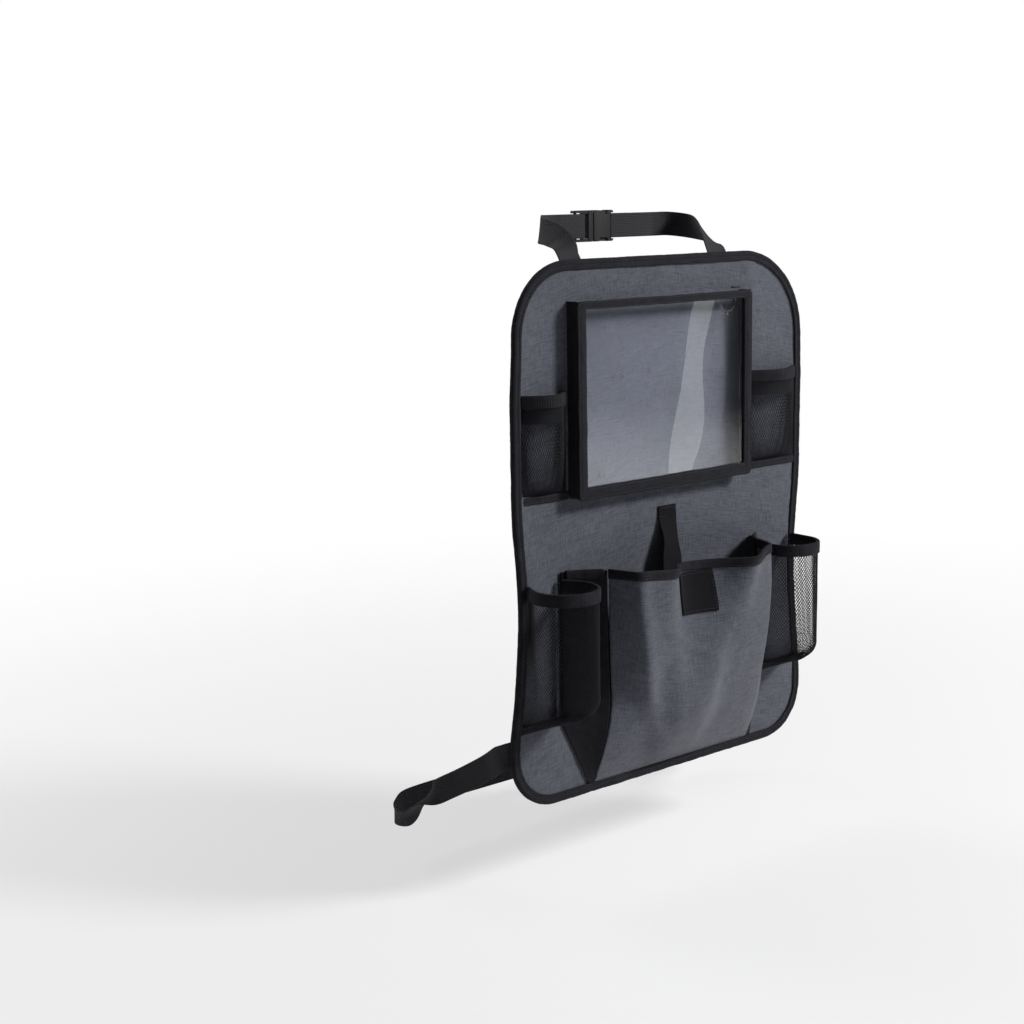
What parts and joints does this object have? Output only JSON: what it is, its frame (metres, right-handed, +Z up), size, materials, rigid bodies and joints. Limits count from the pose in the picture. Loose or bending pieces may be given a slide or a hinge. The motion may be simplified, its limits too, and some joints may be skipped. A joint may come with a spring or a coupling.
{
  "type": "car seat back organizer",
  "caption": "Grey fabric panel that hangs on a car seat's back, with a clear tablet pocket, a deep gusseted pocket, see-through mesh pockets and buckled straps.",
  "frame": {"origin": "middle of the panel's flat back, which lies against the seat", "axes": "+Z up, +Y towards the seat and out of the panel's back, pockets face -Y, +X to the right seen from the pockets"},
  "size_m": [0.4963, 0.2653, 0.632],
  "materials": {
    "grey_cloth": "heather grey polyester weave",
    "black_tape": "black polyester tape and lining",
    "black_webbing": "black ribbed webbing",
    "black_mesh": "see-through black net",
    "clear_vinyl": "clear glossy sheet",
    "black_plastic": "moulded satin plastic"
  },
  "bodies": {
    "root": {"back_panel": "grey_cloth", "edge_binding": "black_tape", "tablet_frame": "black_tape", "tablet_side_wall": "black_tape", "tablet_window": "clear_vinyl", "cable_slit_tack": "black_tape", "left_small_pocket_mesh": "black_mesh", "left_small_pocket_elastic": "black_tape", "left_small_pocket_hem": "black_tape", "right_small_pocket_mesh": "black_mesh", "right_small_pocket_elastic": "black_tape", "right_small_pocket_hem": "black_tape", "left_bottle_pocket_mesh": "black_mesh", "left_bottle_pocket_elastic": "black_tape", "left_bottle_pocket_hem": "black_tape", "right_bottle_pocket_mesh": "black_mesh", "right_bottle_pocket_elastic": "black_tape", "right_bottle_pocket_hem": "black_tape", "deep_pocket_front": "grey_cloth", "deep_pocket_front_binding": "black_tape", "deep_pocket_left_gusset": "black_tape", "deep_pocket_left_gusset_binding": "black_tape", "deep_pocket_right_gusset": "black_tape", "deep_pocket_right_gusset_binding": "black_tape", "loop_patch": "black_webbing", "closure_tab": "black_webbing", "headrest_buckle_socket": "black_plastic", "headrest_buckle_plug": "black_plastic", "headrest_strap_left": "black_webbing", "headrest_strap_right": "black_webbing", "side_buckle_socket": "black_plastic", "side_buckle_plug": "black_plastic", "side_strap_left": "black_webbing", "side_strap_right": "black_webbing"}
  },
  "joints": []
}
